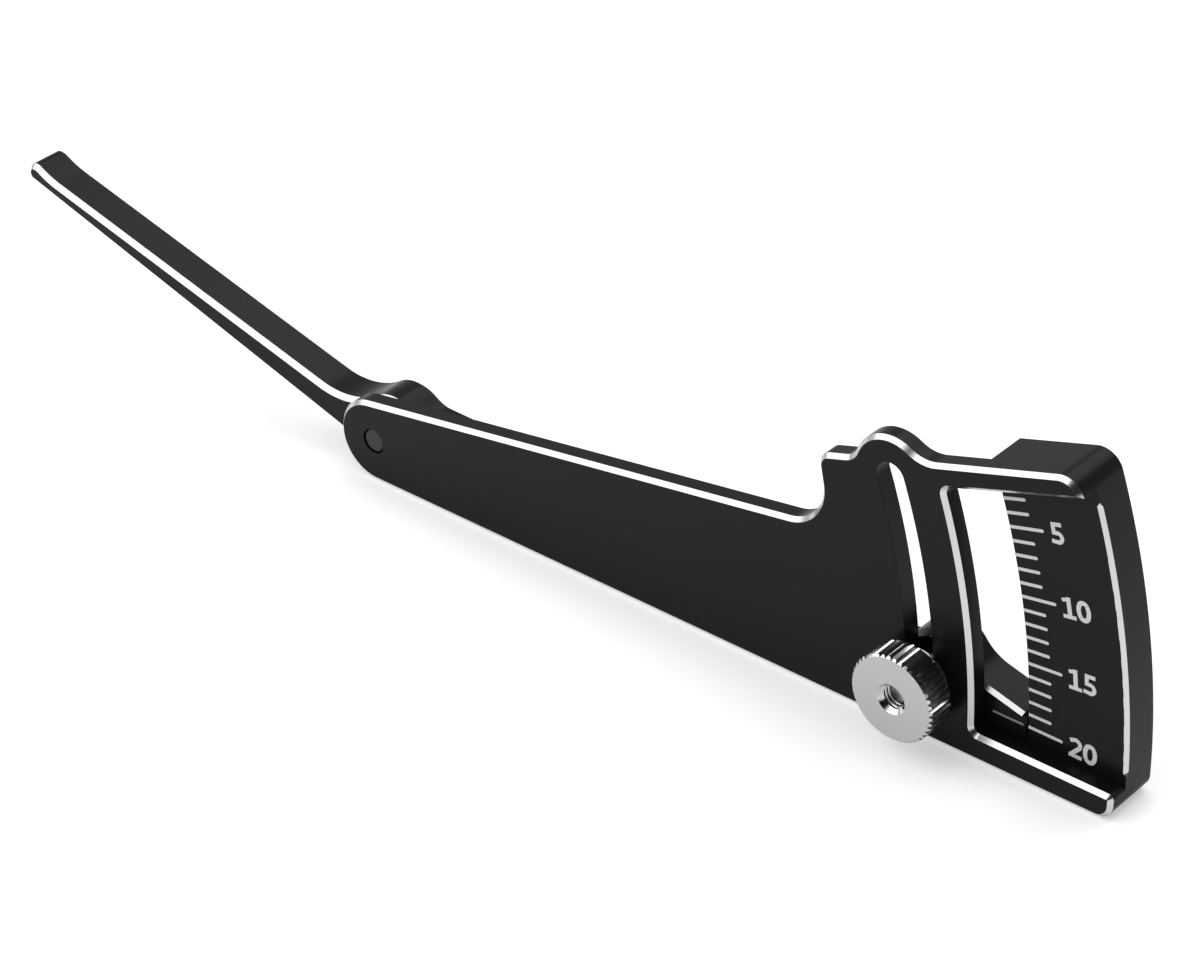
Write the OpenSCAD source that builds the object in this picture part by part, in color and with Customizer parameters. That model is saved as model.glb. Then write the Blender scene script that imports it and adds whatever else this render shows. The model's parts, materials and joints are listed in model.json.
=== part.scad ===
// Ride height gauge: a flat base that stands on its long edge, a lever that turns on a
// pivot at its round end, and a knurled nut that clamps the lever where it reads.
// The base's right end carries the scale, an arc round the pivot.
// Frame: X runs from the finger tip to the scale, Y from the front face to the back,
// Z up. The origin is on the table, under the middle of the scale's foot.

/* [Base] */
// Height of the pivot axis over the table
pivot_h = 5.2; // [5:0.1:6]
// Thickness of the front plate
plate_t = 2.2; // [1.6:0.1:2.3]
// Depth of the scale's face behind the front face
scale_depth = 2.4; // [2.35:0.05:3]
// Whole depth of the scale block, front face to back face
block_depth = 7.2; // [6.6:0.1:9]
// Width of the 45 degree chamfers on the base's front edges
chamfer = 0.45; // [0.3:0.05:0.55]
// Width of the chamfers on the scale block's arc and back edges
back_chamfer = 0.42; // [0.3:0.02:0.6]
// Radius of the base's round end
end_r = 5.05; // [4.6:0.05:5.1]
// Slope of the plate's long top edge, in degrees
edge_a = 9; // [7:0.5:11]
// Slope of the top bar, in degrees
bar_a = 17.2; // [15:0.2:18.6]
// Distance of the top bar's upper edge above a parallel line through the pivot
bar_off = 3.85; // [3:0.05:4.4]
// Distance from the slot's centre line in to the wall that ends the long edge
wall_back = 10.2; // [7.6:0.1:14]
// Radius of the fillet under the step
step_fillet = 5; // [2:0.5:6]
// Radius of the step's corner
step_r = 1.6; // [0.8:0.1:2]
// Wall round the slot's upper end, the crown
crown_wall = 2.86; // [2.4:0.02:3.6]
// Fillet from the step up to the crown
crown_fillet_l = 2; // [1:0.1:3]
// Fillet from the crown down to the top bar
crown_fillet_r = 4; // [2:0.5:6]
// Radius of the top bar's outer corner
bar_corner = 2.4; // [1:0.1:3]
// Radius of the foot's outer corner
foot_corner = 1.9; // [1:0.1:2.4]
// Radius of the corner where the pocket opens to the right
lip_r = 0.65; // [0.6:0.05:1]

/* [Scale and window] */
// Radius of the scale's inner edge, about the pivot
scale_in = 87; // [85:0.5:90]
// Radius of the scale block's outer face
scale_out = 98.6; // [96:0.2:104]
// Radius of the window's left edge
window_r = 81.8; // [81:0.2:83]
// Distance of the window's lower edge below the pivot axis
window_drop = 2.04; // [1.6:0.02:2.4]
// Radius of the window's left corners
window_corner = 0.85; // [0.7:0.05:2]

/* [Slot and travel] */
// Radius of the slot's centre line, about the pivot
slot_r = 75.5; // [74.5:0.1:75.8]
// Width of the slot
slot_w = 3.4; // [3.3:0.1:3.8]
// Angle of the clamp stud at the highest reading, the rest pose
stud_a = 1.56; // [0.8:0.02:2]
// Turn of the lever from the highest reading to the lowest
travel_a = 17.1; // [14:0.1:17.2]

/* [Lever] */
// Gap between the plate's back and the lever's front
lever_gap = 0.2; // [0.15:0.05:0.3]
// Gap between the pointer's end and the scale's inner edge
pointer_gap = 0.3; // [0.25:0.05:0.6]
// Width of the 45 degree chamfer on the lever's front edges
lever_chamfer = 0.55; // [0.3:0.05:0.6]
// Slope of the finger's upper edge, in degrees
finger_top_a = 15; // [14:0.2:16]
// Distance of the finger's upper edge below the pivot axis
finger_top_off = 0.4; // [0:0.05:0.8]
// Slope of the finger's lower edge, in degrees
finger_low_a = 17.2; // [16.6:0.1:17.6]
// Distance of the finger's lower edge below the pivot axis
finger_low_off = 4.5; // [4:0.05:4.6]
// Distance from the pivot axis to the finger's contact nose
nose_x = 56.3; // [50:0.1:60]
// Radius of the contact nose
nose_r = 1; // [0.8:0.05:1.3]
// Fillet between the nose and the finger's upper edge
nose_fillet = 2.5; // [1:0.5:5]
// Radius of the knuckle round the pivot
knuckle_r = 4.8; // [4.6:0.1:4.9]
// Distance of the knuckle's centre right of the pivot axis
knuckle_x = 0.7; // [0:0.1:1]
// Distance of the knuckle's centre below the pivot axis
knuckle_drop = 0.15; // [0:0.05:0.25]
// Fillet from the finger up to the knuckle
finger_fillet = 10.5; // [6:0.5:14]
// Fillets from the knuckle to the arm
arm_fillet = 4; // [2:0.5:6]
// Slope of the arm's upper edge, falling to the right, in degrees
arm_top_a = 0.9; // [0:0.1:2]
// Distance of the arm's upper edge above the pivot axis
arm_top_off = 3.14; // [2.6:0.02:3.6]
// Distance of the arm's lower edge below the pivot axis
arm_low_off = 3; // [2.4:0.1:3.6]
// Radius of the boss round the clamp stud
boss_r = 3.87; // [3.4:0.01:4.2]
// Fillet from the arm up to the boss
boss_fillet_l = 2; // [1:0.5:4]
// Fillet from the boss down to the pointer
boss_fillet_r = 5; // [3:0.5:7]
// Slope of the pointer's upper edge, falling to the right, in degrees
pointer_a = 13.6; // [11:0.2:15]
// Distance of the pointer's upper edge above the pivot axis, measured square to it
pointer_off = 21.26; // [21:0.02:21.5]
// Radius of the pointer's two corners
pointer_corner = 0.6; // [0.55:0.05:0.8]

/* [Pivot] */
// Radius of the pivot screw's thread
pivot_screw_r = 1.5; // [1.3:0.1:1.6]
// Radius of the pivot screw's head
pivot_head_r = 2.85; // [2.7:0.05:3]
// Height of the pivot screw's head
pivot_head_h = 1.6; // [1.4:0.05:1.7]
// Width across flats of the head's hex socket
pivot_hex = 2; // [1.5:0.1:2.2]
// Distance of the pivot screw's end behind the plate's front face
screw_sink = 0.35; // [0:0.05:0.6]
// Outer radius of the bush that the lever turns on
bush_r = 2.5; // [2.3:0.05:2.6]
// Radius of the bush's flange
flange_r = 3.5; // [3:0.1:3.6]
// Thickness of the bush's flange
flange_t = 0.6; // [0.4:0.05:0.8]
// Outer radius of the washer under the screw's head
pivot_washer_r = 3.3; // [2.9:0.05:3.3]
// Thickness of the washer under the screw's head
pivot_washer_t = 0.5; // [0.3:0.05:0.5]
// Radius of the recess that sinks the screw's head into the lever
recess_r = 3.6; // [3.4:0.05:3.7]

/* [Clamp] */
// Radius of the clamp stud's thread
stud_r = 1.5; // [1.3:0.1:1.5]
// Length of the clamp stud
stud_len = 10; // [9:0.5:11]
// Width across flats of the stud's hex socket
stud_hex = 1.5; // [1.2:0.1:1.6]
// Distance of the stud's end inside the lever's back face
stud_sink = 0.6; // [0.2:0.1:1]
// Radius of the nut over its knurl
nut_r = 5; // [4.6:0.1:5.1]
// Length of the nut's knurled head
nut_len = 3.45; // [3:0.05:4]
// Radius of the nut's plain collar
collar_r = 3.2; // [3:0.1:3.6]
// Length of the nut's plain collar
collar_len = 0.85; // [0.6:0.05:1.2]
// Number of grooves in the knurl
knurl_count = 44; // [36:1:48]
// Depth of the knurl's grooves
knurl_depth = 0.32; // [0.2:0.02:0.4]
// Bevel on the knurl's two rims
knurl_bevel = 0.25; // [0.15:0.05:0.35]
// Outer radius of the washer under the nut
clamp_washer_r = 3.5; // [3:0.1:3.6]
// Width and depth of the countersink in the nut's face
countersink = 0.35; // [0.2:0.05:0.5]
// Thickness of the washer under the nut
clamp_washer_t = 0.5; // [0.3:0.05:0.6]

/* [Hidden] */

// Radial clearance of a thread in its tapped hole, as drawn without thread
thread_fit = 0.02;
// Radial clearance of the lever on its bush, and of the bush on its screw
running_fit = 0.03;
// End float of the lever on its bush
end_float = 0.05;
// Radial clearance round a washer's hole, and round the flange in its recess
loose_fit = 0.15;
// Chamfers on the ends of the pivot screw and the stud
screw_tip = 0.3;
stud_tip = 0.3;
stud_edge = 0.2;
// Straight rim of the screw's button head, and the depths of the two hex sockets
head_rim = 0.5;
pivot_hex_depth = 1;
stud_hex_depth = 1.5;
// How far cutting bodies reach past what they cut
past = 0.05;
// Largest distance between an arc and the chord that stands for it
arc_sag = 0.01;
// Smoothness of true circles
$fn = 96;
// Where the chamfer on the scale face's outer edge starts, and its stretch, in degrees
scale_start = -0.65;
scale_arc = 18;

lever_front = plate_t + lever_gap;
lever_back = block_depth;
pointer_r = scale_in - pointer_gap;
foot_in = sqrt(scale_in * scale_in - pivot_h * pivot_h);
foot_out = sqrt(pow(scale_out - foot_corner, 2) - pow(pivot_h - foot_corner, 2));
foot_mid = (foot_in + foot_out) / 2;
head_seat = lever_back - pivot_head_h - pivot_washer_t - end_float;
head_under = head_seat + end_float + pivot_washer_t;
flange_back = plate_t + flange_t;
washer_back = -end_float;
nut_back = washer_back - clamp_washer_t;
nut_front = nut_back - collar_len - nut_len;
stud_back = lever_back - stud_sink;

// Unit vector at an angle, its left normal, and the angle of a vector
function dir(a) = [cos(a), sin(a)];
function left(a) = [-sin(a), cos(a)];
function angle_of(v) = atan2(v[1], v[0]);
function unit(v) = v / norm(v);

// Points of an arc from angle a to angle b, either way round
function arc(c, r, a, b) =
    let (steps = max(2, ceil(abs(b - a) / (2 * acos(1 - arc_sag / r)))))
    [for (i = [0 : steps]) c + r * dir(a + (b - a) * i / steps)];

// An outline's arcs joined, with each point that repeats the one before left out
function joined(arcs) =
    let (p = [for (a = arcs) each a], n = len(p))
    [for (i = [0 : n - 1]) if (norm(p[i] - p[(i + n - 1) % n]) > arc_sag / 2) p[i]];

// An outline moved outwards by d; its points run anticlockwise
function grown(p, d) =
    let (n = len(p))
    [for (i = [0 : n - 1])
        let (u = unit(p[i] - p[(i + n - 1) % n]), v = unit(p[(i + 1) % n] - p[i]),
             side = [u[1], -u[0]], m = unit(side + [v[1], -v[0]]))
        p[i] + m * d / (m * side)];

// Twice the signed area of a triangle, and whether a point lies in it
function turn(a, b, c) = (b[0] - a[0]) * (c[1] - a[1]) - (b[1] - a[1]) * (c[0] - a[0]);
function within(p, a, b, c) = turn(a, b, p) >= 0 && turn(b, c, p) >= 0 && turn(c, a, p) >= 0;

// Triangles that fill an outline p: corner i of the corners still left, q, is cut off
// once no other corner lies in its triangle
function is_ear(p, q, i) =
    let (n = len(q), a = q[(i + n - 1) % n], b = q[i], c = q[(i + 1) % n])
    turn(p[a], p[b], p[c]) > 0
    && len([for (k = q) if (k != a && k != b && k != c && within(p[k], p[a], p[b], p[c])) k]) == 0;
function ear(p, q, i) = is_ear(p, q, i % len(q)) ? i % len(q) : ear(p, q, i + 1);
function filled(p, q, from = 0, done = []) =
    len(q) == 3 ? [each done, q]
    : let (n = len(q), i = ear(p, q, from))
      filled(p, [for (k = [0 : n - 1]) if (k != i) q[k]], i + 1,
             [each done, [q[(i + n - 1) % n], q[i], q[(i + 1) % n]]]);

// Centre of a fillet of radius f that touches a line and a circle from outside.
// The line runs at angle a, off to the left of the pivot; way is 1 or -1 along it.
function fillet_centre(a, off, f, c, r, way) =
    left(a) * (off + f)
    + dir(a) * (c * dir(a) + way * sqrt(pow(r + f, 2) - pow(off + f - c * left(a), 2)));

// Centre of a corner of radius r between a line, as above, and an arc about the pivot
function corner_centre(a, off, r, arc_r) =
    left(a) * (off - r) + dir(a) * sqrt(pow(arc_r - r, 2) - pow(off - r, 2));

// Base: the outline seen from the front, anticlockwise, about the pivot
end_c = [0, end_r - pivot_h];
edge_off = end_r + end_c * left(edge_a);
crown_c = slot_r * dir(stud_a + travel_a);
crown_r = slot_w / 2 + crown_wall;
fillet_r_c = fillet_centre(bar_a, bar_off, crown_fillet_r, crown_c, crown_r, 1);
fillet_l_c = fillet_centre(bar_a, bar_off, crown_fillet_l, crown_c, crown_r, -1);
bar_c = corner_centre(bar_a, bar_off, bar_corner, scale_out);
foot_c = [foot_out, foot_corner - pivot_h];
low_lip_c = corner_centre(0, -window_drop, lip_r, scale_out);
// The window's upper edge is a radial line that ends where the bar's corner starts
window_a = angle_of(bar_c);
// Where the pocket's lip leaves its arc, and how far the pocket reaches past the base
lip_exit = 25;
pocket_reach = 4;
win_low_c = [sqrt(pow(window_r + window_corner, 2) - pow(window_corner - window_drop, 2)),
             window_corner - window_drop];
win_top_c = dir(window_a) * sqrt(pow(window_r + window_corner, 2) - pow(window_corner, 2))
    - left(window_a) * window_corner;
// The step's corner lies between the wall, square to the long edge, and the top bar's line
step_s = slot_r - wall_back;
step_c = (step_s + step_r) * dir(edge_a)
    + left(edge_a) * (bar_off - step_r + (step_s + step_r) * sin(bar_a - edge_a))
    / cos(bar_a - edge_a);
under_c = (step_s - step_fillet) * dir(edge_a) + (edge_off + step_fillet) * left(edge_a);

round_end = arc(end_c, end_r, 90 + edge_a, 270);
foot_end = arc(foot_c, foot_corner, 270, 360 + angle_of(foot_c));
top_side = joined([
    arc(bar_c, bar_corner, angle_of(bar_c), 90 + bar_a),
    arc(fillet_r_c, crown_fillet_r, 270 + bar_a, 360 + angle_of(crown_c - fillet_r_c)),
    arc(crown_c, crown_r, angle_of(fillet_r_c - crown_c), angle_of(fillet_l_c - crown_c)),
    arc(fillet_l_c, crown_fillet_l, angle_of(crown_c - fillet_l_c), bar_a - 90),
    arc(step_c, step_r, 90 + bar_a, 180 + edge_a),
    arc(under_c, step_fillet, edge_a, edge_a - 90)]);

// Whole outline, with the scale block's arc for its right side
base_outline = joined([
    round_end, foot_end,
    arc([0, 0], scale_out, angle_of(foot_c), angle_of(bar_c)),
    top_side]);

// Pocket that opens the window and the scale's face, led out past the base's right end
pocket_outline = joined([
    arc(low_lip_c, lip_r, 90, lip_exit),
    [low_lip_c + lip_r * dir(lip_exit) + pocket_reach * dir(lip_exit - 90),
     (scale_out + pocket_reach) * dir(window_a)],
    arc(win_top_c, window_corner, 90 + window_a, 180 + angle_of(win_top_c)),
    arc([0, 0], window_r, angle_of(win_top_c), angle_of(win_low_c)),
    arc(win_low_c, window_corner, 180 + angle_of(win_low_c), 270)]);

// Lever: the outline seen from the front, anticlockwise, about the pivot
knuckle_c = [knuckle_x, -knuckle_drop];
boss_c = slot_r * dir(stud_a);
nose_c = [-nose_x, (nose_r - finger_low_off + nose_x * sin(finger_low_a)) / cos(finger_low_a)];
nose_fillet_c = fillet_centre(-finger_top_a, -finger_top_off, nose_fillet, nose_c, nose_r, 1);
finger_fillet_c = fillet_centre(-finger_top_a, -finger_top_off, finger_fillet,
                                knuckle_c, knuckle_r, -1);
arm_fillet_c = fillet_centre(-arm_top_a, arm_top_off, arm_fillet, knuckle_c, knuckle_r, 1);
boss_l_c = fillet_centre(-arm_top_a, arm_top_off, boss_fillet_l, boss_c, boss_r, -1);
boss_r_c = fillet_centre(-pointer_a, pointer_off, boss_fillet_r, boss_c, boss_r, 1);
pointer_top_c = corner_centre(-pointer_a, pointer_off, pointer_corner, pointer_r);
pointer_low_c = [sqrt(pow(pointer_r - pointer_corner, 2) - pow(arm_low_off - pointer_corner, 2)),
                 pointer_corner - arm_low_off];
arm_low_c = fillet_centre(180, arm_low_off, arm_fillet, knuckle_c, knuckle_r, -1);
finger_low_c = fillet_centre(180 - finger_low_a, finger_low_off, arm_fillet,
                             knuckle_c, knuckle_r, 1);

lever_outline = joined([
    arc(nose_c, nose_r, angle_of(nose_fillet_c - nose_c), 270 - finger_low_a),
    arc(finger_low_c, arm_fillet, 90 - finger_low_a, angle_of(knuckle_c - finger_low_c)),
    arc(knuckle_c, knuckle_r, 360 + angle_of(finger_low_c - knuckle_c),
        360 + angle_of(arm_low_c - knuckle_c)),
    arc(arm_low_c, arm_fillet, angle_of(knuckle_c - arm_low_c), 90),
    arc(pointer_low_c, pointer_corner, 270, 360 + angle_of(pointer_low_c)),
    arc([0, 0], pointer_r, angle_of(pointer_low_c), angle_of(pointer_top_c)),
    arc(pointer_top_c, pointer_corner, angle_of(pointer_top_c), 90 - pointer_a),
    arc(boss_r_c, boss_fillet_r, 270 - pointer_a, 360 + angle_of(boss_c - boss_r_c)),
    arc(boss_c, boss_r, angle_of(boss_r_c - boss_c), angle_of(boss_l_c - boss_c)),
    arc(boss_l_c, boss_fillet_l, angle_of(boss_c - boss_l_c), -90 - arm_top_a),
    arc(arm_fillet_c, arm_fillet, 270 - arm_top_a, 360 + angle_of(knuckle_c - arm_fillet_c)),
    arc(knuckle_c, knuckle_r, angle_of(arm_fillet_c - knuckle_c),
        angle_of(finger_fillet_c - knuckle_c)),
    arc(finger_fillet_c, finger_fillet, angle_of(knuckle_c - finger_fillet_c),
        -90 - finger_top_a),
    arc(nose_fillet_c, nose_fillet, 270 - finger_top_a,
        360 + angle_of(nose_c - nose_fillet_c))]);

// Moves a piece that is drawn about the pivot into the gauge's own frame
module placed() translate([-foot_mid, -block_depth / 2, pivot_h]) children();

// A flat shape, drawn as seen from the front, given depth from y0 to y1
module slab(y0, y1) translate([0, y1, 0]) rotate([90, 0, 0]) linear_extrude(y1 - y0) children();

module rod(y0, y1, r) slab(y0, y1) circle(r);

// A hexagonal socket of a given width across its flats
module socket(y0, y1, flats) slab(y0, y1) circle(flats / sqrt(3), $fn = 6);

// A shape of revolution about an axis along Y; the profile's points are [radius, y]
module turned(profile) rotate([-90, 0, 0]) rotate_extrude() polygon(profile);

// A plate of a given outline from y0 to y1, moved in by c0 and c1 at its two faces
module chamfered(outline, y0, y1, c0, c1) {
    n = len(outline);
    front = grown(outline, -c0);
    back = grown(outline, -c1);
    levels = [[front, y0], [outline, y0 + abs(c0)], [outline, y1 - abs(c1)], [back, y1]];
    points = [for (l = levels, p = l[0]) [p[0], l[1], p[1]]];
    sides = [for (k = [0 : 2], i = [0 : n - 1])
        [k * n + i, k * n + (i + 1) % n, (k + 1) * n + (i + 1) % n, (k + 1) * n + i]];
    corners = [for (i = [0 : n - 1]) i];
    polyhedron(points, [
        each sides,
        each [for (t = filled(front, corners)) [t[2], t[1], t[0]]],
        each [for (t = filled(back, corners)) [for (k = t) k + 3 * n]]]);
}

// The slot that the clamp stud runs in, an arc about the pivot with round ends
module slot_shape() {
    difference() {
        circle(slot_r + slot_w / 2, $fn = 360);
        circle(slot_r - slot_w / 2, $fn = 360);
        polygon([[0, 0], 2 * slot_r * dir(stud_a + travel_a), [0, 3 * slot_r],
                 [-3 * slot_r, 0], [0, -3 * slot_r], 2 * slot_r * dir(stud_a)]);
    }
    for (a = [stud_a, stud_a + travel_a]) translate(slot_r * dir(a)) circle(slot_w / 2);
}

module base_frame() color("#18181a") placed() difference() {
    chamfered(base_outline, 0, block_depth, chamfer, back_chamfer);
    // room for the lever behind the plate, which leaves the scale block standing
    rod(plate_t, block_depth + past, scale_in);
    // pocket, widened at the front face by its chamfer
    chamfered(pocket_outline, -past, scale_depth, -chamfer - past, 0);
    // chamfer on the scale face's outer edge, from the foot to the top bar
    rotate([-90, 0, 0]) rotate([0, 0, -scale_arc - scale_start]) rotate_extrude(angle = scale_arc)
        polygon([[scale_out - back_chamfer - past, scale_depth - past],
                 [scale_out + past, scale_depth - past],
                 [scale_out + past, scale_depth + back_chamfer + past]]);
    slab(-past, plate_t + past) slot_shape();
    rod(-past, plate_t + past, pivot_screw_r + thread_fit);
}

module lever_arm() color("#18181a") placed() difference() {
    chamfered(lever_outline, lever_front, lever_back, lever_chamfer, back_chamfer);
    rod(lever_front - past, lever_back + past, bush_r + running_fit);
    rod(lever_front - past, flange_back + end_float, flange_r + loose_fit);
    rod(head_seat, lever_back + past, recess_r);
    translate([boss_c[0], 0, boss_c[1]])
        rod(lever_front - past, lever_back + past, stud_r + thread_fit);
}

// Button head screw from the back, its end just inside the front face
module pivot_screw() color("#1c1c1e") placed() difference() {
    union() {
        turned([[0, screw_sink], [pivot_screw_r - screw_tip, screw_sink],
                [pivot_screw_r, screw_sink + screw_tip],
                [pivot_screw_r, head_under], [0, head_under]]);
        turned([[0, head_under], [pivot_head_r, head_under], [pivot_head_r, head_under + head_rim],
                [pivot_head_r * 0.6, head_under + pivot_head_h], [0, head_under + pivot_head_h]]);
    }
    socket(head_under + pivot_head_h - pivot_hex_depth, head_under + pivot_head_h + past,
           pivot_hex);
}

// Flanged sleeve clamped between the plate and the washer; the lever turns on it
module pivot_bush() color("#b58a4a") placed() difference() {
    union() {
        rod(plate_t, flange_back, flange_r);
        rod(plate_t, head_seat + end_float, bush_r);
    }
    rod(plate_t - past, head_seat + end_float + past, pivot_screw_r + running_fit);
}

module pivot_washer() color("#8d9094") placed() difference() {
    rod(head_seat + end_float, head_under, pivot_washer_r);
    rod(head_seat, head_under + past, pivot_screw_r + loose_fit);
}

// Headless screw fixed in the lever's boss, with its socket at the back
module clamp_stud() color("#8d9094") placed() translate([boss_c[0], 0, boss_c[1]]) difference() {
    turned([[0, stud_back - stud_len], [stud_r - stud_tip, stud_back - stud_len],
            [stud_r, stud_back - stud_len + stud_tip], [stud_r, stud_back - stud_edge],
            [stud_r - stud_edge, stud_back], [0, stud_back]]);
    socket(stud_back - stud_hex_depth, stud_back + past, stud_hex);
}

// Knurled thumb nut with a plain collar at its back and a countersunk threaded hole
module clamp_nut() color("#c9ccd0") placed() translate([boss_c[0], 0, boss_c[1]]) difference() {
    union() {
        intersection() {
            slab(nut_front, nut_back - collar_len)
                polygon([for (i = [0 : 2 * knurl_count - 1])
                    (nut_r - knurl_depth * (i % 2)) * dir(180 * i / knurl_count)]);
            turned([[0, nut_front], [nut_r - knurl_bevel - knurl_depth, nut_front],
                    [nut_r + past, nut_front + knurl_bevel + knurl_depth + past],
                    [nut_r + past, nut_back - collar_len - knurl_bevel - past],
                    [nut_r - knurl_bevel, nut_back - collar_len], [0, nut_back - collar_len]]);
        }
        rod(nut_back - collar_len - past, nut_back, collar_r);
    }
    rod(nut_front - past, nut_back + past, stud_r + thread_fit);
    turned([[0, nut_front - past], [stud_r + countersink + past, nut_front - past],
            [stud_r, nut_front + countersink], [0, nut_front + countersink]]);
}

module clamp_washer() color("#8d9094") placed() translate([boss_c[0], 0, boss_c[1]]) difference() {
    rod(nut_back, washer_back, clamp_washer_r);
    rod(nut_back - past, washer_back + past, stud_r + loose_fit);
}

base_frame();
lever_arm();
pivot_screw();
pivot_bush();
pivot_washer();
clamp_stud();
clamp_nut();
clamp_washer();
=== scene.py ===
import json
import math

import bmesh
import bpy
from mathutils import Matrix, Vector


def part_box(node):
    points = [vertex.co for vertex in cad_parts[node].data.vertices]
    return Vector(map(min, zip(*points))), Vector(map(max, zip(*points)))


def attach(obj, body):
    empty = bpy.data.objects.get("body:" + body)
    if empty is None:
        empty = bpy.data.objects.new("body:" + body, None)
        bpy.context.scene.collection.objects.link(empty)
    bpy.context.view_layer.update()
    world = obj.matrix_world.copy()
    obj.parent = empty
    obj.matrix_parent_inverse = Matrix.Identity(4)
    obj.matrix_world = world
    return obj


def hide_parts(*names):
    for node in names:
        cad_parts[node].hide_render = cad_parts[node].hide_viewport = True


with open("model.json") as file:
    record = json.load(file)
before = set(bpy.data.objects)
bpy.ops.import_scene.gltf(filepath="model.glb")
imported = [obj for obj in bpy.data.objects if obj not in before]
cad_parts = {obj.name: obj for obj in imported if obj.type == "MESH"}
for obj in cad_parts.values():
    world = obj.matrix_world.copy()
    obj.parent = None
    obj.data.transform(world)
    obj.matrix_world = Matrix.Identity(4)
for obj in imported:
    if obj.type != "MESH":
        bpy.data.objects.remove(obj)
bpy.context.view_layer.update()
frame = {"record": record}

# Base frame. One bar of aluminium, milled through its outline, recessed behind for the
# lever and in front for the scale. It is blasted and anodised black, and only then are
# its front edges chamfered, so that the chamfers stay bright.
mm = 0.001
joints = {j["name"]: j for j in frame["record"]["behaviour"]["joints"]}
pivot = Vector(joints["lever_hinge"]["pos_m"])

# Sizes are in millimetres, and slopes and turns in degrees over the foot. Places in the
# plate's plane are taken from the pivot's axis. A line there is given by its slope and by
# how far off the axis it passes.
axis = Vector((0, 0))
pivot_h = 5.2
end_r, foot_r, edge_slope = 5.05, 1.9, 9.0
bar_slope, bar_off, bar_end_r = 17.2, 3.85, 2.4
wall_along, step_r, step_fillet_r = 65.3, 1.6, 5.0
slot_r, slot_half = 75.5, 1.7
stud_turn, travel = 1.56, 17.1
crown_wall, crown_rise_r, crown_fall_r = 2.86, 2.0, 4.0
scale_in, scale_out = 87.0, 98.6
window_r, window_drop, window_corner_r = 81.8, 2.04, 0.85
plate_back, scale_face, tapped_r = 2.2, 2.4, 1.52
chamfer_w, back_chamfer_w = 0.45, 0.42
black, bright = 0, 1  # the material slots of a piece that has both finishes
past = 1.0  # how far a cutting tool reaches out of the piece
arc_sag = 0.0015  # how far the middle of an arc's flats lies inside the arc
arc_step = 6  # the widest turn from one flat to the next
touch = 0.001 * mm  # points closer than this are the same point


def depths(node):
    """The depth in the frame of a CAD node's front and of its back."""
    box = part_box(node)
    return box[0].y, box[1].y


def ray(angle, length=1.0):
    """A vector in the plate's plane, at an angle over the foot."""
    return Vector((math.cos(math.radians(angle)), math.sin(math.radians(angle)))) * length


def heading(v):
    return math.degrees(math.atan2(v.y, v.x))


def fillet(slope, off, r, centre, big, way):
    """Centre of a fillet between a line, off from the pivot, and a round of radius big."""
    along, side = ray(slope), ray(slope + 90)
    reach = math.sqrt((big + r) ** 2 - (off + r - centre.dot(side)) ** 2)
    return side * (off + r) + along * (centre.dot(along) + way * reach)


def corner(slope, off, r, rim):
    """Centre of a corner between a line, off from the pivot, and an arc round the pivot."""
    return ray(slope + 90, off - r) + ray(slope, math.sqrt((rim - r) ** 2 - (off - r) ** 2))


def place(p, y):
    """A point of the plate's plane, in millimetres from the pivot, at depth y of the frame."""
    return Vector((pivot.x + p.x * mm, y, pivot.z + p.y * mm))


def from_pivot(point):
    """Where a point of the frame lies in the plate's plane, in millimetres from the pivot."""
    return Vector((point.x - pivot.x, point.z - pivot.z)) / mm


def start_line(name):
    """A new piece of one vertex at the frame's origin, in edit mode, to draw a line with."""
    bpy.ops.object.select_all(action="DESELECT")
    bpy.ops.mesh.primitive_plane_add(size=mm)
    piece = bpy.context.object
    piece.name = name
    bpy.ops.object.mode_set(mode="EDIT")
    bpy.ops.mesh.merge(type="CENTER")
    return piece


def draw(step, begun):
    """Takes the line's end on by a step, or its first point before the line is begun."""
    if begun:
        bpy.ops.mesh.extrude_vertices_move(TRANSFORM_OT_translate={"value": step})
    else:
        bpy.ops.transform.translate(value=step)


def face_outwards():
    """Turns the faces of the piece in edit mode outwards, and leaves edit mode."""
    bpy.ops.mesh.select_all(action="SELECT")
    bpy.ops.mesh.normals_make_consistent(inside=False)
    bpy.ops.object.mode_set(mode="OBJECT")


def scribe(name, rounds, y):
    """Draws a line at depth y, straight to each round and then about its centre. A round
    of no radius is a plain corner. The line is left selected, in edit mode."""
    piece = start_line(name)
    here = Vector((0, 0, 0))
    for number, (centre, r, start, stop) in enumerate(rounds):
        first = place(centre + ray(start, r), y)
        if number == 0 or (first - here).length > touch:
            draw(first - here, number > 0)
        here = place(centre + ray(stop, r), y)
        if r > 0:
            step = math.degrees(2 * math.acos(1 - arc_sag / r))
            bpy.ops.mesh.spin(
                steps=max(2, math.ceil(abs(stop - start) / min(step, arc_step))),
                angle=math.radians(stop - start),
                center=place(centre, y),
                axis=(0, 1, 0),
            )
    bpy.ops.mesh.select_all(action="SELECT")
    bpy.ops.mesh.remove_doubles(threshold=touch / 2)
    return piece


def trace(name, rounds, y, depth, finish):
    """Scribes an outline, closes it and extrudes it to a plate of this depth."""
    piece = scribe(name, rounds, y)
    bpy.ops.mesh.edge_face_add()
    bpy.ops.mesh.extrude_region_move(TRANSFORM_OT_translate={"value": (0, depth, 0)})
    face_outwards()
    piece.data.materials.append(finish)
    return piece


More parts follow.
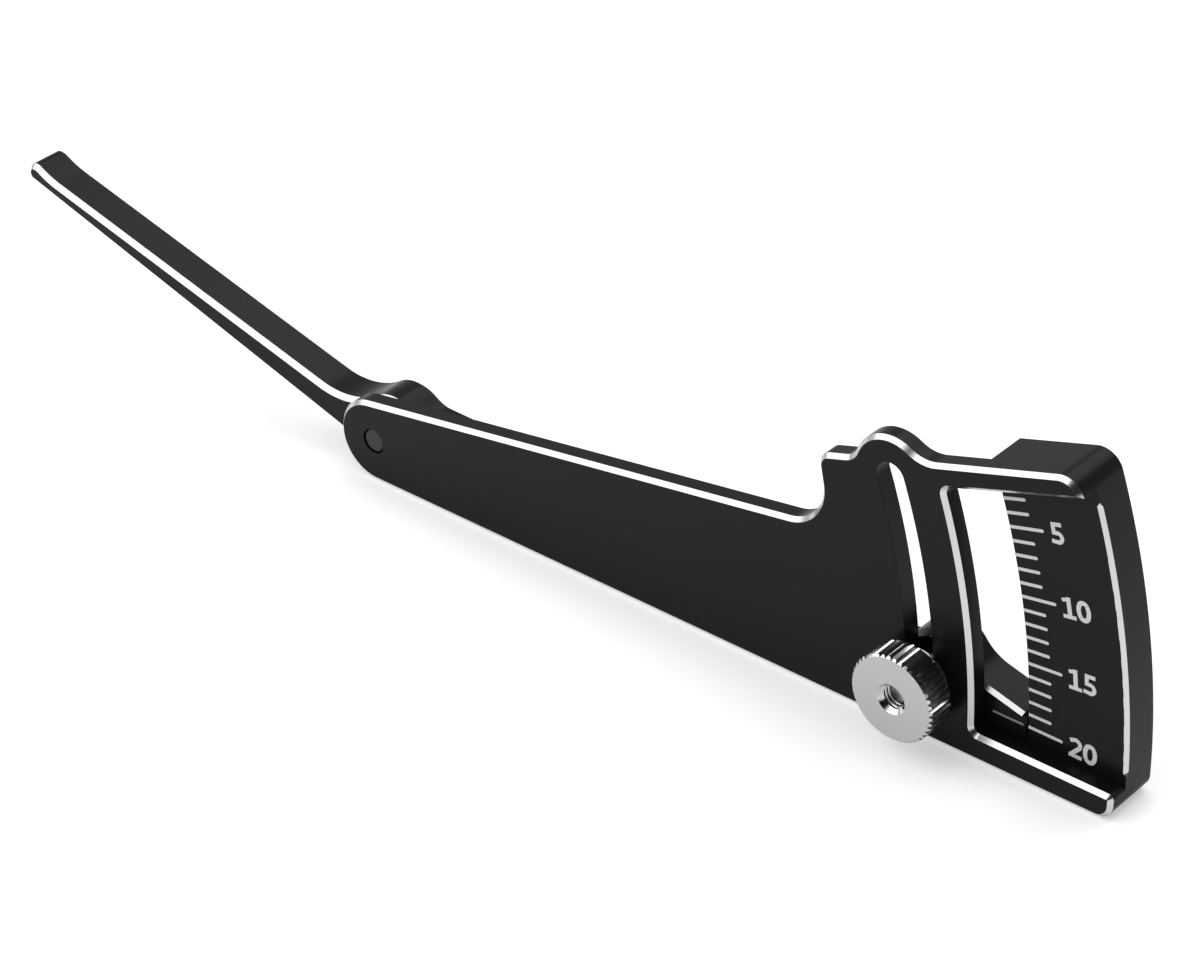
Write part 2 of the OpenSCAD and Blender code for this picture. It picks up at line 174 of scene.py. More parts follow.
def rod(name, centre, y0, y1, r, finish, sides=128):
    """A round bar along Y, from y0 to y1."""
    bpy.ops.object.select_all(action="DESELECT")
    bpy.ops.mesh.primitive_cylinder_add(
        vertices=sides,
        radius=r * mm,
        depth=abs(y1 - y0),
        location=place(centre, (y0 + y1) / 2),
        rotation=(math.pi / 2, 0, 0),
    )
    piece = bpy.context.object
    piece.name = name
    bpy.ops.object.transform_apply(location=True, rotation=True, scale=True)
    piece.data.materials.append(finish)
    return piece


def pick(piece):
    """Selects this piece alone."""
    bpy.ops.object.select_all(action="DESELECT")
    piece.select_set(True)
    bpy.context.view_layer.objects.active = piece


def apply(piece, kind, **settings):
    """Adds a modifier to a piece with these settings and applies it."""
    change = piece.modifiers.new(kind, kind)
    for key, value in settings.items():
        setattr(change, key, value)
    pick(piece)
    bpy.ops.object.modifier_apply(modifier=change.name)


def cut(piece, tool, operation="DIFFERENCE"):
    """Cuts a piece with a tool, which is used up and leaves its finish on the cut."""
    apply(piece, "BOOLEAN", operation=operation, object=tool, solver="EXACT",
          material_mode="TRANSFER")
    bpy.data.objects.remove(tool)


def chamfer(piece, width, chosen, slot=-1):
    """Chamfers the chosen edges of a piece, and gives the new faces that material slot, or
    that of the faces beside them."""
    shell = bmesh.new()
    shell.from_mesh(piece.data)
    weight = shell.edges.layers.float.new("bevel_weight_edge")
    for edge in shell.edges:
        edge[weight] = float(chosen(edge))
    shell.to_mesh(piece.data)
    shell.free()
    apply(piece, "BEVEL", limit_method="WEIGHT", width=width * mm, segments=1, material=slot,
          use_clamp_overlap=False)
    piece.data.attributes.remove(piece.data.attributes["bevel_weight_edge"])


def at_depth(y):
    """Picks the edges that lie at one depth."""
    return lambda edge: max(abs(v.co.y - y) for v in edge.verts) < touch


def finish_edges(piece, spared=(), width=0.04, square=62, spared_r=0.3):
    """Breaks the square outer edges that the tool left, except close to a spared place, and
    shades the rounds smooth, each corner of a face leaning to the widest face there."""
    chamfer(piece, width, lambda edge: (
        edge.is_convex and edge.calc_face_angle(0) > math.radians(square)
        and all((from_pivot(v.co) - spot).length > spared_r
                for v in edge.verts for spot in spared)))
    bpy.ops.object.shade_smooth_by_angle(angle=math.radians(24))
    apply(piece, "WEIGHTED_NORMAL", mode="FACE_AREA", weight=100, keep_sharp=True)


def hex_colour(code):
    """A colour written in sRGB hex, turned to the linear values that shaders take."""
    parts = [int(code[i : i + 2], 16) / 255 for i in (0, 2, 4)]
    return [c / 12.92 if c <= 0.04045 else ((c + 0.055) / 1.055) ** 2.4 for c in parts] + [1.0]


def add_node(material, kind, settings=None, links=None, values=None):
    """Adds a node to a material, with its settings, input values and links."""
    node = material.node_tree.nodes.new(kind)
    for key, value in (settings or {}).items():
        setattr(node, key, value)
    for key, value in (values or {}).items():
        node.inputs[key].default_value = value
    for key, source in (links or {}).items():
        material.node_tree.links.new(source, node.inputs[key])
    return node


# Black anodised aluminium: a dyed oxide skin over a fine blasted ground. It reads as a
# deep neutral black with a soft sheen, a little cloudy where the dye took unevenly.
black_anodised = bpy.data.materials.new("black_anodised_aluminium")
black_anodised.use_nodes = True
skin = black_anodised.node_tree.nodes["Principled BSDF"]
skin.inputs["IOR"].default_value = 1.5
skin.inputs["Specular IOR Level"].default_value = 0.14
spot = add_node(black_anodised, "ShaderNodeTexCoord")
grain = add_node(black_anodised, "ShaderNodeTexNoise",
                 values={"Scale": 1 / (0.12 * mm), "Detail": 2.0},
                 links={"Vector": spot.outputs["Object"]})
cloud = add_node(black_anodised, "ShaderNodeTexNoise",
                 values={"Scale": 1 / (9 * mm), "Detail": 3.0},
                 links={"Vector": spot.outputs["Object"]})
tint = add_node(black_anodised, "ShaderNodeMix", {"data_type": "RGBA"},
                links={0: cloud.outputs["Fac"]},
                values={6: hex_colour("0C0C0F"), 7: hex_colour("111114")})
sheen = add_node(black_anodised, "ShaderNodeMapRange",
                 values={"To Min": 0.24, "To Max": 0.34}, links={"Value": cloud.outputs["Fac"]})
pits = add_node(black_anodised, "ShaderNodeBump",
                values={"Strength": 0.05, "Distance": 0.01 * mm},
                links={"Height": grain.outputs["Fac"]})
black_anodised.node_tree.links.new(tint.outputs[2], skin.inputs["Base Color"])
black_anodised.node_tree.links.new(sheen.outputs["Result"], skin.inputs["Roughness"])
black_anodised.node_tree.links.new(pits.outputs["Normal"], skin.inputs["Normal"])

# Bright cut aluminium: the chamfers, cut through the anodising with a polished tool. They
# mirror the light, with faint waves of the cutter. The waves are drawn 1.57 mm apart,
# coarser than real tool marks, so that they show.
bright_cut = bpy.data.materials.new("bright_cut_aluminium")
bright_cut.use_nodes = True
blank = bright_cut.node_tree.nodes["Principled BSDF"]
blank.inputs["Base Color"].default_value = hex_colour("D7D7D7")
blank.inputs["Metallic"].default_value = 1.0
blank.inputs["Roughness"].default_value = 0.22
wave = 2 * math.pi / 20  # how far apart a wave texture's rings lie at a scale of 1
spot = add_node(bright_cut, "ShaderNodeTexCoord")
marks = add_node(bright_cut, "ShaderNodeTexWave", {"wave_type": "RINGS", "rings_direction": "Y"},
                 values={"Scale": wave / (1.5708 * mm), "Distortion": 0.6},
                 links={"Vector": spot.outputs["Object"]})
chatter = add_node(bright_cut, "ShaderNodeBump",
                   values={"Strength": 0.04, "Distance": 0.01 * mm},
                   links={"Height": marks.outputs["Fac"]})
bright_cut.node_tree.links.new(chatter.outputs["Normal"], blank.inputs["Normal"])

front_y, back_y = depths("base_frame")
end_centre = Vector((0, end_r - pivot_h))
foot_centre = Vector((math.sqrt((scale_out - foot_r) ** 2 - (pivot_h - foot_r) ** 2),
                      foot_r - pivot_h))
bar_centre = corner(bar_slope, bar_off, bar_end_r, scale_out)
crown_centre = ray(stud_turn + travel, slot_r)
crown_r = slot_half + crown_wall
crown_fall = fillet(bar_slope, bar_off, crown_fall_r, crown_centre, crown_r, 1)
crown_rise = fillet(bar_slope, bar_off, crown_rise_r, crown_centre, crown_r, -1)
edge_off = end_r + end_centre.dot(ray(edge_slope + 90))
lean = math.radians(bar_slope - edge_slope)
step_up = (bar_off - step_r + (wall_along + step_r) * math.sin(lean)) / math.cos(lean)
step_centre = ray(edge_slope, wall_along + step_r) + ray(edge_slope + 90, step_up)
under_centre = (ray(edge_slope, wall_along - step_fillet_r)
                + ray(edge_slope + 90, edge_off + step_fillet_r))
base = trace("base_body", [
    (end_centre, end_r, 90 + edge_slope, 270),
    (foot_centre, foot_r, -90, heading(foot_centre)),
    (axis, scale_out, heading(foot_centre), heading(bar_centre)),
    (bar_centre, bar_end_r, heading(bar_centre), 90 + bar_slope),
    (crown_fall, crown_fall_r, 270 + bar_slope, 360 + heading(crown_centre - crown_fall)),
    (crown_centre, crown_r, heading(crown_fall - crown_centre),
     heading(crown_rise - crown_centre)),
    (crown_rise, crown_rise_r, heading(crown_centre - crown_rise), bar_slope - 90),
    (step_centre, step_r, 90 + bar_slope, 180 + edge_slope),
    (under_centre, step_fillet_r, edge_slope, edge_slope - 90),
], front_y, back_y - front_y, black_anodised)
base.data.materials.append(bright_cut)

# The pocket in front: window and scale face, open to the right
window_top = heading(bar_centre)
lip_r, lip_exit, run_out = 0.65, 25, 4
lip_centre = corner(0, -window_drop, lip_r, scale_out)
lip_end = lip_centre + ray(lip_exit, lip_r) + ray(lip_exit - 90, run_out)
corner_rim = window_r + window_corner_r
corner_y = window_corner_r - window_drop
low_corner = Vector((math.sqrt(corner_rim**2 - corner_y**2), corner_y))
top_corner = (ray(window_top, math.sqrt(corner_rim**2 - window_corner_r**2))
              - ray(window_top + 90, window_corner_r))
cut(base, trace("pocket", [
    (lip_centre, lip_r, 90, lip_exit),
    (lip_end, 0, 0, 0),
    (ray(window_top, scale_out + run_out), 0, 0, 0),
    (top_corner, window_corner_r, 90 + window_top, 180 + heading(top_corner)),
    (axis, window_r, heading(top_corner), heading(low_corner)),
    (low_corner, window_corner_r, 180 + heading(low_corner), 270),
], front_y - past * mm, (scale_face + past) * mm, black_anodised))
chamfer(base, chamfer_w, at_depth(front_y), bright)

# The bar's round ends at the window's top edge in less than a chamfer's width, so the two
# chamfers there are brought to one corner
flat_r = bar_end_r - chamfer_w
bar_tip = (bar_centre + ray(window_top, math.sqrt(flat_r**2 - chamfer_w**2))
           + ray(window_top + 90, chamfer_w))
near, slack = 0.1, 0.03
for vertex in base.data.vertices:
    spot = from_pivot(vertex.co) - bar_centre
    rise = spot.dot(ray(window_top + 90))
    if (abs(vertex.co.y - front_y) < touch and abs(spot.length - flat_r) < near
            and -near < rise < chamfer_w + slack and spot.x > 0):
        vertex.co = place(bar_tip, front_y)
bpy.ops.object.mode_set(mode="EDIT")
bpy.ops.mesh.select_all(action="SELECT")
bpy.ops.mesh.remove_doubles(threshold=touch)
bpy.ops.object.mode_set(mode="OBJECT")
chamfer(base, back_chamfer_w, at_depth(back_y), black)

# The recess behind for the lever, the slot and the tapped hole for the pivot screw
cut(base, rod("recess", axis, front_y + plate_back * mm, back_y + past * mm, scale_in,
              black_anodised, sides=900))
slot_top = stud_turn + travel
cut(base, trace("slot", [
    (axis, slot_r + slot_half, stud_turn, slot_top),
    (ray(slot_top, slot_r), slot_half, slot_top, slot_top + 180),
    (axis, slot_r - slot_half, slot_top, stud_turn),
    (ray(stud_turn, slot_r), slot_half, stud_turn + 180, stud_turn + 360),
], front_y - past * mm, (plate_back + 2 * past) * mm, black_anodised))
cut(base, rod("tapped", axis, front_y - past * mm, front_y + (plate_back + past) * mm, tapped_r,
              black_anodised))

# The bright chamfer on the scale face's outer edge runs out in a round at both ends. Its
# cutter starts a little in front of the face.
strip_r, strip_w, strip_low, strip_high = 0.72, 0.38, -0.18, 16.86
strip_over, strip_depth, strip_flank = 0.05, 0.75, 0.7
strip_mid = scale_out - strip_w + strip_r
strip_y = front_y + scale_face * mm - strip_over * mm
strip = trace("strip", [
    (axis, strip_mid + strip_r, strip_low, strip_high),
    (ray(strip_high, strip_mid), strip_r, strip_high, strip_high + 180),
    (axis, strip_mid - strip_r, strip_high, strip_low),
    (ray(strip_low, strip_mid), strip_r, strip_low + 180, strip_low + 360),
], strip_y, strip_depth * mm, bright_cut)
chamfer(strip, strip_flank, at_depth(strip_y + strip_depth * mm))
cut(base, strip)
finish_edges(base, [ray(window_top, scale_out)])
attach(base, "base")
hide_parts("base_frame")

# Scale. Laser marks burnt through the black dye down to pale oxide: a short mark for each
# millimetre, a long one for each five, and the numbers 5 to 20 in plain digits.
# Laser marked oxide: the skin with its dye burnt out, a matt light grey, a little mottled.
laser_mark = bpy.data.materials.new("laser_marked_oxide")
laser_mark.use_nodes = True
burnt = laser_mark.node_tree.nodes["Principled BSDF"]
burnt.inputs["Roughness"].default_value = 0.55
spot = add_node(laser_mark, "ShaderNodeTexCoord")
raster = add_node(laser_mark, "ShaderNodeTexNoise",
                  values={"Scale": 1 / (0.15 * mm), "Detail": 1.0},
                  links={"Vector": spot.outputs["Object"]})
fade = add_node(laser_mark, "ShaderNodeMix", {"data_type": "RGBA"},
                links={0: raster.outputs["Fac"]},
                values={6: hex_colour("C2C4C6"), 7: hex_colour("DEE0E2")})
laser_mark.node_tree.links.new(fade.outputs[2], burnt.inputs["Base Color"])

mark_y = front_y + scale_face * mm
mark_proud = 0.012
first_reading, last_reading, reading_turn, last_turn = 3, 20, 1.0045, -0.12
mark_start, short_end, long_end, mark_half = scale_in + 0.02, 89.72, 91.1, 0.18
figure_left, figure_step, figure_middle = 91.84, 1.65, -0.02


def score(turned, rounds, width):
    """Burns a stroke of this width along a line. The line is drawn as if it lay level, the
    pivot to its left, and is then turned about the pivot."""
    side = ray(turned + 90)
    piece = scribe("scale_figure", [(ray(turned, c[0]) + side * c[1], r, turned + start,
                                     turned + stop) for c, r, start, stop in rounds], mark_y)
    bpy.ops.mesh.extrude_region_move(TRANSFORM_OT_translate={"value": (0, -mark_proud * mm, 0)})
    bpy.ops.object.mode_set(mode="OBJECT")
    apply(piece, "SOLIDIFY", thickness=width * mm, offset=0, use_even_offset=True,
          use_quality_normals=True)
    bpy.ops.object.mode_set(mode="EDIT")
    face_outwards()
    piece.data.materials.append(laser_mark)
    return piece


def digit(turned, figure, left):
    """Burns one figure, its left edge this far from the pivot, as strokes run into one. A
    stroke is its width and the rounds of its line, from the figure's left middle."""
    strokes = {
        0: [(0.5, [((0.835, 0.5), 0.468, 25, 155), ((1.905, 0), 1.65, 155, 205),
                   ((0.835, -0.5), 0.468, 205, 335), ((-0.235, 0), 1.65, -25, 26)])],
        1: [(0.5, [((0.8, 1.2), 0, 0, 0), ((0.8, -1.0), 0, 0, 0)]),
            (0.4, [((0.03, 0.8), 0, 0, 0), ((0.8, 0.96), 0, 0, 0)]),
            (0.42, [((0, -0.97), 0, 0, 0), ((1.52, -0.97), 0, 0, 0)])],
        2: [(0.46, [((0.12, 0.77), 0, 0, 0), ((0.78, 0.46), 0.53, 118, -43),
                    ((0.3, -0.86), 0, 0, 0)]),
            (0.43, [((0, -0.97), 0, 0, 0), ((1.55, -0.97), 0, 0, 0)])],
        5: [(0.45, [((1.5, 0.96), 0, 0, 0), ((0.5, 0.96), 0, 0, 0), ((0.46, 0.06), 0, 0, 0),
                    ((0.82, -0.46), 0.5, 100, -92), ((0.05, -0.84), 0, 0, 0)])],
    }[figure]
    whole = None
    for width, rounds in strokes:
        piece = score(turned, [((left + c[0], figure_middle + c[1]), r, start, stop)
                               for c, r, start, stop in rounds], width)
        if whole:
            cut(whole, piece, "UNION")
        else:
            whole = piece
    return whole


burnt_pieces = []
for reading in range(first_reading, last_reading + 1):
    turned = last_turn + (last_reading - reading) * reading_turn
    tip = (long_end if reading % 5 == 0 else short_end) - mark_half
    side = ray(turned + 90, mark_half)
    burnt_pieces.append(trace("scale_mark", [
        (ray(turned, mark_start) - side, 0, 0, 0),
        (ray(turned, tip), mark_half, turned - 90, turned + 90),
        (ray(turned, mark_start) + side, 0, 0, 0),
    ], mark_y - mark_proud * mm, mark_proud * mm, laser_mark))
    if reading % 5 == 0:
        for number, figure in enumerate(str(reading)):
            burnt_pieces.append(digit(turned, int(figure), figure_left + figure_step * number))
pick(burnt_pieces[0])
for piece in burnt_pieces:
    piece.select_set(True)
bpy.ops.object.join()
scale_marks = bpy.context.object
scale_marks.name = "scale_marks"
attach(scale_marks, "base")

# Lever. The long finger, the knuckle at the pivot, the arm and the pointer are one milled
# piece, black like the base. Its front edge is chamfered bright and its back edge black.
lever_y = depths("lever_arm")[0]
knuckle, knuckle_r = Vector((0.7, -0.15)), 4.8
boss, boss_r = ray(stud_turn, slot_r), 3.87
top_slope, top_off, finger_fillet_r = 15.0, -0.4, 10.5
low_slope, low_off = 17.2, -4.5
nose_x, nose_r = 56.15, 1.15
crest_r, crest_join, crest_fillet_r = 1.4, 125, 11
arm_slope, arm_top, arm_low, arm_fillet_r = 0.9, 3.14, 3.0, 4.0
boss_arm_r, boss_head_r = 2.0, 5.0
head_slope, head_off, head_corner_r = 15.3, 23.8, 0.6
pointer_rim = scale_in - 0.3
lever_chamfer_w, pointer_chamfer_w, tip_bright_y = 0.55, 0.4, 0.4

nose = Vector((-nose_x, (nose_r + low_off + nose_x * math.sin(math.radians(low_slope)))
               / math.cos(math.radians(low_slope))))
crest = nose + ray(crest_join, nose_r - crest_r)
crest_fillet = fillet(-top_slope, top_off, crest_fillet_r, crest, crest_r, 1)
finger_fillet = fillet(-top_slope, top_off, finger_fillet_r, knuckle, knuckle_r, -1)
over_arm = fillet(-arm_slope, arm_top, arm_fillet_r, knuckle, knuckle_r, 1)
boss_arm = fillet(-arm_slope, arm_top, boss_arm_r, boss, boss_r, -1)
boss_head = fillet(-head_slope, head_off, boss_head_r, boss, boss_r, 1)
head_top = corner(-head_slope, head_off, head_corner_r, pointer_rim)
head_low = Vector((math.sqrt((pointer_rim - head_corner_r) ** 2 - (arm_low - head_corner_r) ** 2),
                   head_corner_r - arm_low))
under_arm = fillet(180, arm_low, arm_fillet_r, knuckle, knuckle_r, -1)
under_finger = fillet(180 - low_slope, -low_off, arm_fillet_r, knuckle, knuckle_r, 1)
lever = trace("lever_body", [
    (crest, crest_r, heading(crest_fillet - crest), crest_join),
    (nose, nose_r, crest_join, 270 - low_slope),
    (under_finger, arm_fillet_r, 90 - low_slope, heading(knuckle - under_finger)),
    (knuckle, knuckle_r, 360 + heading(under_finger - knuckle),
     360 + heading(under_arm - knuckle)),
    (under_arm, arm_fillet_r, heading(knuckle - under_arm), 90),
    (head_low, head_corner_r, 270, 360 + heading(head_low)),
    (axis, pointer_rim, heading(head_low), heading(head_top)),
    (head_top, head_corner_r, heading(head_top), 90 - head_slope),
    (boss_head, boss_head_r, 270 - head_slope, 360 + heading(boss - boss_head)),
    (boss, boss_r, heading(boss_head - boss), heading(boss_arm - boss)),
    (boss_arm, boss_arm_r, heading(boss - boss_arm), -90 - arm_slope),
    (over_arm, arm_fillet_r, 270 - arm_slope, 360 + heading(knuckle - over_arm)),
    (knuckle, knuckle_r, heading(over_arm - knuckle), heading(finger_fillet - knuckle)),
    (finger_fillet, finger_fillet_r, heading(knuckle - finger_fillet), -90 - top_slope),
    (crest_fillet, crest_fillet_r, 270 - top_slope, 360 + heading(crest - crest_fillet)),
], lever_y, back_y - lever_y, black_anodised)
lever.data.materials.append(bright_cut)


def bright_round(edge):
    """The front edge from the nose to the boss, above and below."""
    return at_depth(lever_y)(edge) and from_pivot(edge.verts[0].co).x < boss.x + boss_r


def bright_pointer(edge):
    """The pointer's upper edge, with its tip down to tip_bright_y."""
    middle = from_pivot((edge.verts[0].co + edge.verts[1].co) / 2)
    return at_depth(lever_y)(edge) and middle.x > boss.x + boss_r and middle.y > tip_bright_y


chamfer(lever, lever_chamfer_w, bright_round, bright)
chamfer(lever, pointer_chamfer_w, bright_pointer, bright)

# The last bit of the chamfer round the nose and at the pointer's tip is black
nose_from, nose_to, tip_x = 165, 262, head_top.x + 0.15
for face in lever.data.polygons:
    spot = from_pivot(face.center)
    round_nose = (spot - nose).length < nose_r + 0.1
    if spot.x > tip_x or round_nose and nose_from < heading(spot - nose) % 360 < nose_to:
        face.material_index = black
chamfer(lever, back_chamfer_w, at_depth(back_y), black)

# The bore for the bush, with room for its flange in front and for washer and screw head
# behind, and the tapped hole for the stud
sleeve_bore_r, flange_bore_r, flange_room, head_bore_r = 2.53, 3.65, 0.65, 3.6
head_seat = depths("pivot_washer")[0] - 0.05 * mm
lever_near, lever_far = lever_y - past * mm, back_y + past * mm
for centre, y0, y1, r in (
    (axis, lever_near, lever_far, sleeve_bore_r),
    (axis, lever_near, depths("pivot_bush")[0] + flange_room * mm, flange_bore_r),
    (axis, head_seat, lever_far, head_bore_r),
    (boss, lever_near, lever_far, tapped_r),
):
    cut(lever, rod("bore", centre, y0, y1, r, black_anodised))
finish_edges(lever)
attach(lever, "lever")
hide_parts("lever_arm")

# Pointer line. It is laser marked on the lever's head, so that it runs on into the scale's
# marks. Its oxide is the same, with painted shade: a darker grey that hardly shows against black,
# for the shade on the lever's head in the pocket.
painted_shade_mark = laser_mark.copy()
painted_shade_mark.name = "laser_marked_oxide_painted_shade"
painted_shade_fade = painted_shade_mark.node_tree.nodes["Mix"]
# Painted shade: the scale marks' greys made darker for the shade over the lever's head
painted_shade_fade.inputs[6].default_value = hex_colour("77797B")
painted_shade_fade.inputs[7].default_value = hex_colour("96989A")
line_left, line_right, line_low, line_high = 82.7, 86.4, -0.36, -0.1
pointer_line = trace("pointer_line", [
    (Vector((line_left, line_low)), 0, 0, 0), (Vector((line_right, line_low)), 0, 0, 0),
    (Vector((line_right, line_high)), 0, 0, 0), (Vector((line_left, line_high)), 0, 0, 0),
], lever_y - mark_proud * mm, mark_proud * mm, painted_shade_mark)
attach(pointer_line, "lever")

# Pivot bush. A flanged sleeve of sintered bronze, clamped between the plate and the washer
# behind it. The lever turns on it, with a hair of clearance all round.
# Sintered bronze: pressed powder soaked in oil, a dull brown gold with fine dark pores.
bronze = bpy.data.materials.new("sintered_bronze")
bronze.use_nodes = True
sintered = bronze.node_tree.nodes["Principled BSDF"]
sintered.inputs["Metallic"].default_value = 1.0
sintered.inputs["Roughness"].default_value = 0.42
spot = add_node(bronze, "ShaderNodeTexCoord")
pores = add_node(bronze, "ShaderNodeTexNoise", values={"Scale": 1 / (0.09 * mm), "Detail": 2.0},
                 links={"Vector": spot.outputs["Object"]})
oiled = add_node(bronze, "ShaderNodeMix", {"data_type": "RGBA"},
                 links={0: pores.outputs["Fac"]},
                 values={6: hex_colour("8E6A38"), 7: hex_colour("BC9152")})
pitted = add_node(bronze, "ShaderNodeBump", values={"Strength": 0.2, "Distance": 0.01 * mm},
                  links={"Height": pores.outputs["Fac"]})
bronze.node_tree.links.new(oiled.outputs[2], sintered.inputs["Base Color"])
bronze.node_tree.links.new(pitted.outputs["Normal"], sintered.inputs["Normal"])


def lathe(name, centre, profile, finish, sides=96):
    """Turns a profile about an axis along Y; its points are radius in mm and depth."""
    piece = start_line(name)
    here = Vector((0, 0, 0))
    for number, (r, y) in enumerate(profile):
        point = place(centre + Vector((r, 0)), y)
        draw(point - here, number > 0)
        here = point
    bpy.ops.mesh.select_all(action="SELECT")
    bpy.ops.mesh.spin(steps=sides, angle=2 * math.pi, center=place(centre, 0), axis=(0, 1, 0))
    bpy.ops.mesh.select_all(action="SELECT")
    bpy.ops.mesh.remove_doubles(threshold=touch)
    face_outwards()
    piece.data.materials.append(finish)
    return piece


bush_near, bush_far = depths("pivot_bush")
sleeve_r, bore_r, flange_r, flange_t = 2.5, 1.53, 3.5, 0.6
flange_break, sleeve_break, bore_break = 0.08, 0.12, 0.07
bush = lathe("pivot_sleeve", axis, [
    (bore_r + bore_break, bush_near), (flange_r - flange_break, bush_near),
    (flange_r, bush_near + flange_break * mm),
    (flange_r, bush_near + (flange_t - flange_break) * mm),
    (flange_r - flange_break, bush_near + flange_t * mm), (sleeve_r, bush_near + flange_t * mm),
    (sleeve_r, bush_far - sleeve_break * mm), (sleeve_r - sleeve_break, bush_far),
    (bore_r + bore_break, bush_far), (bore_r, bush_far - bore_break * mm),
    (bore_r, bush_near + bore_break * mm), (bore_r + bore_break, bush_near),
], bronze)
bpy.ops.object.shade_smooth_by_angle(angle=math.radians(24))
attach(bush, "base")
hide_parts("pivot_bush")

# Pivot washer. A blanked washer of plain steel under the screw's head, its front rim
# rounded by the punch and its back rim left with the die's break.
# Rolled plain steel: a mid grey metal, streaked one way by the rolls, between gloss and satin.
plain_steel = bpy.data.materials.new("rolled_plain_steel")
plain_steel.use_nodes = True
rolled = plain_steel.node_tree.nodes["Principled BSDF"]
rolled.inputs["Metallic"].default_value = 1.0
rolled.inputs["Base Color"].default_value = hex_colour("A9ABAD")
spot = add_node(plain_steel, "ShaderNodeTexCoord")
drawn = add_node(plain_steel, "ShaderNodeMapping", links={"Vector": spot.outputs["Object"]},
                 values={"Scale": (0.15, 1.0, 1.0)})
lines = add_node(plain_steel, "ShaderNodeTexNoise",
                 values={"Scale": 1 / (0.05 * mm), "Detail": 2.0},
                 links={"Vector": drawn.outputs["Vector"]})
rubbed = add_node(plain_steel, "ShaderNodeMapRange", values={"To Min": 0.26, "To Max": 0.42},
                  links={"Value": lines.outputs["Fac"]})
plain_steel.node_tree.links.new(rubbed.outputs["Result"], rolled.inputs["Roughness"])
washer_bore_r, punch_r, punch_mid, die_break, bore_round = 1.65, 0.12, 0.035, 0.03, 0.08


def washer(name, node, centre, r):
    """A blanked washer in the place of a CAD node."""
    near, far = depths(node)
    return lathe(name, centre, [
        (washer_bore_r + bore_round, near), (r - punch_r, near),
        (r - punch_mid, near + punch_mid * mm), (r, near + punch_r * mm),
        (r, far - die_break * mm), (r - die_break, far), (washer_bore_r + die_break, far),
        (washer_bore_r, far - die_break * mm), (washer_bore_r, near + bore_round * mm),
        (washer_bore_r + bore_round, near),
    ], plain_steel)


pivot_washer = washer("pivot_screw_washer", "pivot_washer", axis, r=3.3)
bpy.ops.object.shade_smooth_by_angle(angle=math.radians(40))
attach(pivot_washer, "base")
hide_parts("pivot_washer")

# Pivot screw. An M3 button head screw of black oxide steel, put in from behind through the
# washer and the bush into the plate. Its thread is rolled and its hex socket pressed.
# Black oxide: a thin black skin grown on the steel and oiled, with soft greyer blooms.
black_oxide = bpy.data.materials.new("black_oxide_steel")
black_oxide.use_nodes = True
oxide = black_oxide.node_tree.nodes["Principled BSDF"]
oxide.inputs["Metallic"].default_value = 0.15
oxide.inputs["Roughness"].default_value = 0.34
spot = add_node(black_oxide, "ShaderNodeTexCoord")
bloom = add_node(black_oxide, "ShaderNodeTexNoise",
                 values={"Scale": 1 / (0.8 * mm), "Detail": 3.0},
                 links={"Vector": spot.outputs["Object"]})
oily = add_node(black_oxide, "ShaderNodeMix", {"data_type": "RGBA"},
                links={0: bloom.outputs["Fac"]},
                values={6: hex_colour("0E0E10"), 7: hex_colour("17181A")})
scale_grain = add_node(black_oxide, "ShaderNodeTexNoise", values={"Scale": 1 / (0.05 * mm)},
                       links={"Vector": spot.outputs["Object"]})
scaly = add_node(black_oxide, "ShaderNodeBump", values={"Strength": 0.1, "Distance": 0.01 * mm},
                 links={"Height": scale_grain.outputs["Fac"]})
black_oxide.node_tree.links.new(oily.outputs[2], oxide.inputs["Base Color"])
black_oxide.node_tree.links.new(scaly.outputs["Normal"], oxide.inputs["Normal"])
pitch, groove_w, root_w, coil_steps = 0.5, 0.44, 0.06, 32


def thread_groove(centre, y0, y1, mouth, root, finish):
    """A coil that cuts a thread. Its section narrows from its mouth to its root, which are
    radii."""
    coil = start_line("thread_groove")
    coil.location = place(centre, y0 - pitch * mm)
    here = axis
    for number, point in enumerate((
        Vector((mouth, -groove_w / 2)), Vector((root, -root_w / 2)),
        Vector((root, root_w / 2)), Vector((mouth, groove_w / 2)),
    )):
        draw((point - here).to_3d() * mm, number > 0)
        here = point
    bpy.ops.mesh.select_all(action="SELECT")
    bpy.ops.mesh.edge_face_add()
    bpy.ops.mesh.delete(type="ONLY_FACE")
    bpy.ops.object.mode_set(mode="OBJECT")
    apply(coil, "SCREW", axis="Y", angle=2 * math.pi, screw_offset=pitch * mm,
          iterations=math.ceil((y1 - y0) / (pitch * mm)) + 2, steps=coil_steps,
          render_steps=coil_steps)
    bpy.ops.object.mode_set(mode="EDIT")
    bpy.ops.mesh.select_all(action="SELECT")
    bpy.ops.mesh.remove_doubles(threshold=touch / 2)
    bpy.ops.mesh.select_all(action="SELECT")
    bpy.ops.mesh.fill_holes(sides=4)
    face_outwards()
    bpy.ops.object.transform_apply(location=True, rotation=True, scale=True)
    coil.data.materials.append(finish)
    return coil


def press_hex(screw, centre, head_y, finish, depth, across):
    """Presses a hex socket, so deep and so wide across its flats, into a screw."""
    cut(screw, rod("hex_socket", centre, head_y - depth * mm, head_y + past * mm,
                   across / math.sqrt(3), finish, sides=6))


